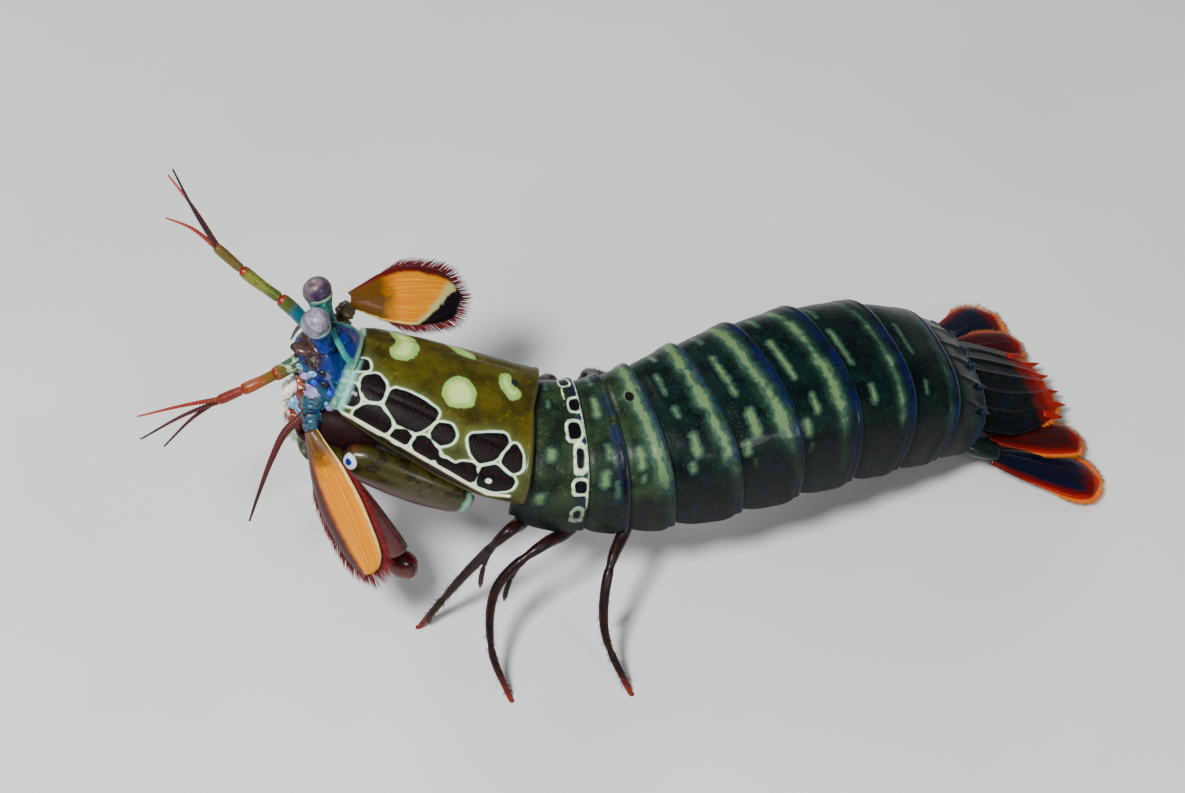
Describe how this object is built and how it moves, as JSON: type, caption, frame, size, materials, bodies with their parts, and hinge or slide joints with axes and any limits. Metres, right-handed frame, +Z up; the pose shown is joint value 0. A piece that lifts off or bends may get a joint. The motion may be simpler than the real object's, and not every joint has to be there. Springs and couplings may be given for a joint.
{
  "type": "mantis shrimp model",
  "caption": "Life-size mantis shrimp standing on its walking legs, body bent to one side, striking claws folded, tail fan spread on the floor.",
  "frame": {"origin": "centre of the bounding box at floor level, under the feet", "axes": "+X from the head towards the tail, +Y to the animal's right side, +Z up"},
  "size_m": [0.1546, 0.0842, 0.0761],
  "materials": {
    "carapace": "glossy olive-brown shell",
    "rostral_plate": "glossy teal shell",
    "head": "satin blue-green shell",
    "eye": "glossy faceted lilac-grey",
    "eyestalk": "satin teal-blue",
    "antennule": "satin yellow-green, red joints",
    "antenna": "satin red-brown",
    "antennal_scale": "satin orange, black spot, red fringe",
    "maxilliped": "satin pale blue and cream",
    "claw": "glossy red",
    "claw_merus": "glossy olive",
    "thorax": "glossy green, pale rear edge",
    "abdomen": "glossy dark green, pale green bands",
    "telson": "glossy green-black, ridged",
    "uropod": "satin blue-black and red, orange fringe",
    "leg": "satin maroon-brown",
    "pleopod": "satin dark violet-brown"
  },
  "bodies": {
    "root": {"abdomen_1": "abdomen", "abdomen_2": "abdomen", "abdomen_3": "abdomen", "abdomen_4": "abdomen", "abdomen_5": "abdomen", "abdomen_6": "abdomen", "antenna_left": "antenna", "antenna_right": "antenna", "antennal_scale_left": "antennal_scale", "antennal_scale_right": "antennal_scale", "antennule_left": "antennule", "antennule_right": "antennule", "carapace": "carapace", "claw_club_left": "claw", "claw_club_right": "claw", "claw_hand_left": "claw", "claw_hand_right": "claw", "claw_merus_left": "claw_merus", "claw_merus_right": "claw_merus", "claw_wrist_left": "claw", "claw_wrist_right": "claw", "eye_left": "eye", "eye_right": "eye", "eyestalk_left": "eyestalk", "eyestalk_right": "eyestalk", "head": "head", "leg_1_left": "leg", "leg_1_right": "leg", "leg_2_left": "leg", "leg_2_right": "leg", "leg_3_left": "leg", "leg_3_right": "leg", "maxilliped_3_left": "maxilliped", "maxilliped_3_right": "maxilliped", "maxilliped_4_left": "maxilliped", "maxilliped_4_right": "maxilliped", "maxilliped_5_left": "maxilliped", "maxilliped_5_right": "maxilliped", "pleopod_1_left": "pleopod", "pleopod_1_right": "pleopod", "pleopod_2_left": "pleopod", "pleopod_2_right": "pleopod", "pleopod_3_left": "pleopod", "pleopod_3_right": "pleopod", "pleopod_4_left": "pleopod", "pleopod_4_right": "pleopod", "pleopod_5_left": "pleopod", "pleopod_5_right": "pleopod", "rostral_plate": "rostral_plate", "telson": "telson", "thorax_6": "thorax", "thorax_7": "thorax", "thorax_8": "thorax", "thorax_front": "thorax", "uropod_base_left": "uropod", "uropod_base_right": "uropod", "uropod_inner_left": "uropod", "uropod_inner_right": "uropod", "uropod_outer_left": "uropod", "uropod_outer_right": "uropod"}
  },
  "joints": []
}
